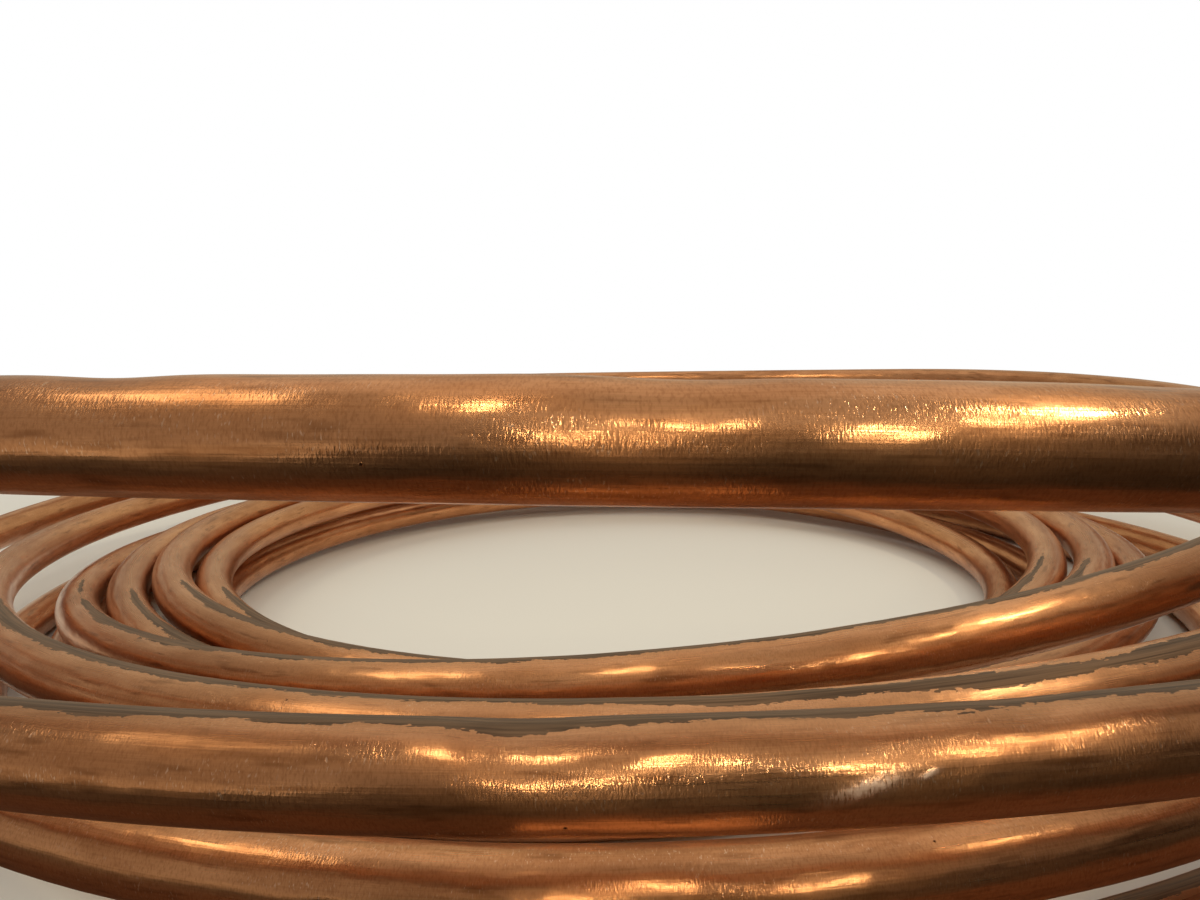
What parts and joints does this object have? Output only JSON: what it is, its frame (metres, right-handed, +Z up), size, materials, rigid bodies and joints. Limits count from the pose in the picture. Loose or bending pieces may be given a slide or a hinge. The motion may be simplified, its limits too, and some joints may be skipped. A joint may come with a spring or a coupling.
{
  "type": "copper tube coil",
  "caption": "Loose flat coil of soft copper tube with an open eye, one raised springy turn and two square-cut open ends.",
  "frame": {"origin": "middle of the coil's box in plan, on the floor it lies on", "axes": "+Z up through the eye; the raised turn is highest at the front, -Y; +X to the right"},
  "size_m": [0.735, 0.7164, 0.1281],
  "materials": {
    "copper": "soft drawn copper, satin, partly tarnished"
  },
  "bodies": {
    "root": {"copper_tube": "copper"}
  },
  "joints": []
}
